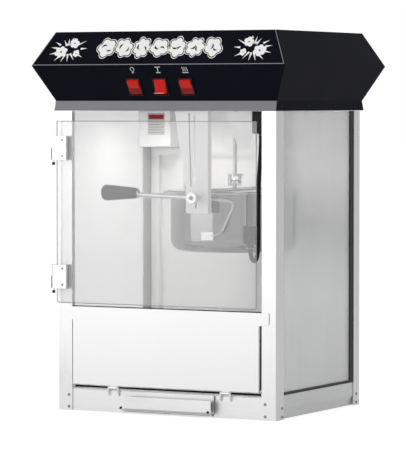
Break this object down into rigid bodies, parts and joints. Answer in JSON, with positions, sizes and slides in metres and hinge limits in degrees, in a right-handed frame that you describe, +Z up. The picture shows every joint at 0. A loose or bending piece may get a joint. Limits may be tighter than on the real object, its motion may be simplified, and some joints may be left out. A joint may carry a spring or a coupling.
{
  "type": "tabletop popcorn machine",
  "caption": "Glazed stainless tabletop popcorn machine with a black canopy, rocker switches, a hinged glass door, a serving flap, a kernel tray and a tipping kettle with a stirrer.",
  "frame": {"origin": "centre of the footprint on the worktop, under the canopy's plan centre", "axes": "+Z up, -Y is the front with the door and switches, +X is the side opposite the door's hinges"},
  "size_m": [0.478, 0.3876, 0.64],
  "materials": {
    "stainless": "brushed stainless sheet",
    "bright_steel": "polished stainless",
    "black_paint": "smooth black powder coat, satin gloss",
    "grey_trim": "grey satin trim",
    "glass": "clear tempered glass",
    "gasket": "black extruded gasket",
    "black_plastic": "moulded black plastic",
    "red_rocker": "translucent red moulded plastic",
    "cord": "black flexible cord jacket",
    "bulb": "frosted lamp glass",
    "galvanised": "galvanised sheet"
  },
  "bodies": {
    "cabinet": {"base_pan": "galvanised", "floor_deck": "bright_steel", "front_rail": "stainless", "rear_rail": "stainless", "left_rail": "stainless", "right_rail": "stainless", "post_front_left": "stainless", "post_front_right": "stainless", "post_rear_left": "stainless", "post_rear_right": "stainless", "side_glass_left": "glass", "side_glass_right": "glass", "gasket_left": "gasket", "gasket_right": "gasket", "rear_panel": "bright_steel", "rear_frame": "bright_steel", "wiring_box": "stainless", "canopy_shell": "black_paint", "cord_gland": "black_plastic", "front_trim": "grey_trim", "sign_plate": "black_paint", "switch_housing_light": "black_plastic", "switch_housing_motor": "black_plastic", "switch_housing_heat": "black_plastic", "ceiling_plate": "bright_steel", "lamp_socket": "galvanised", "lamp_bulb": "bulb", "agitator_motor": "galvanised", "hanger_front": "stainless", "hanger_rear": "stainless", "receptacle": "black_plastic", "receptacle_guard": "stainless", "kettle_cord": "cord", "hinge_bracket_upper": "bright_steel", "hinge_bracket_lower": "bright_steel"},
    "door": {"glass_door": "glass", "hinge_clamp_upper": "bright_steel", "hinge_clamp_lower": "bright_steel"},
    "flap": {"serving_flap": "bright_steel"},
    "tray": {"kernel_tray": "bright_steel", "tray_back": "bright_steel", "tray_pull": "stainless"},
    "kettle": {"kettle_shell": "bright_steel", "heater_plate": "galvanised", "kettle_pot": "bright_steel", "trunnion_front": "bright_steel", "trunnion_rear": "bright_steel", "handle_rod": "bright_steel", "handle_grip": "black_plastic", "crank_rod": "bright_steel", "terminal_box": "black_plastic", "lid_bridge": "bright_steel"},
    "left_lid": {"lid_left": "bright_steel"},
    "right_lid": {"lid_right": "bright_steel"},
    "drive": {"drive_shaft": "bright_steel"},
    "agitator": {"stirrer": "bright_steel"},
    "light_switch": {"rocker_light": "red_rocker"},
    "motor_switch": {"rocker_motor": "red_rocker"},
    "heat_switch": {"rocker_heat": "red_rocker"}
  },
  "joints": [
    {"name": "door_hinge", "type": "hinge", "parent": "cabinet", "child": "door", "pos_m": [-0.2125, -0.1665, 0.336], "axis": [0, 0, -1], "range_deg": [0, 95]},
    {"name": "flap_hinge", "type": "hinge", "parent": "cabinet", "child": "flap", "pos_m": [0, -0.1622, 0.0415], "axis": [1, 0, 0], "range_deg": [0, 50]},
    {"name": "tray_slide", "type": "slide", "parent": "cabinet", "child": "tray", "axis": [0, -1, 0], "range_m": [0, 0.2]},
    {"name": "kettle_tilt", "type": "hinge", "parent": "cabinet", "child": "kettle", "pos_m": [0.045, 0.004, 0.363], "axis": [0, -1, 0], "range_deg": [0, 60], "deforming": ["kettle_cord"]},
    {"name": "left_lid_hinge", "type": "hinge", "parent": "kettle", "child": "left_lid", "pos_m": [0.0292, 0.004, 0.3738], "axis": [0, 1, 0], "range_deg": [0, 70]},
    {"name": "right_lid_hinge", "type": "hinge", "parent": "kettle", "child": "right_lid", "pos_m": [0.0608, 0.004, 0.3738], "axis": [0, -1, 0], "range_deg": [0, 70]},
    {"name": "drive_spin", "type": "hinge", "parent": "cabinet", "child": "drive", "pos_m": [0.045, 0.004, 0.46], "axis": [0, 0, 1], "continuous": true},
    {"name": "agitator_spin", "type": "hinge", "parent": "kettle", "child": "agitator", "pos_m": [0.045, 0.004, 0.34], "axis": [0, 0, 1], "continuous": true},
    {"name": "light_rocker", "type": "hinge", "parent": "cabinet", "child": "light_switch", "pos_m": [-0.049, -0.17214, 0.54982], "axis": [1, 0, 0], "range_deg": [-22, 0]},
    {"name": "motor_rocker", "type": "hinge", "parent": "cabinet", "child": "motor_switch", "pos_m": [0.0007, -0.17214, 0.54982], "axis": [1, 0, 0], "range_deg": [0, 22]},
    {"name": "heat_rocker", "type": "hinge", "parent": "cabinet", "child": "heat_switch", "pos_m": [0.0495, -0.17214, 0.54982], "axis": [1, 0, 0], "range_deg": [-22, 0]}
  ],
  "couplings": [
    {"joint": "drive_spin", "follows": "agitator_spin", "ratio": 1}
  ]
}
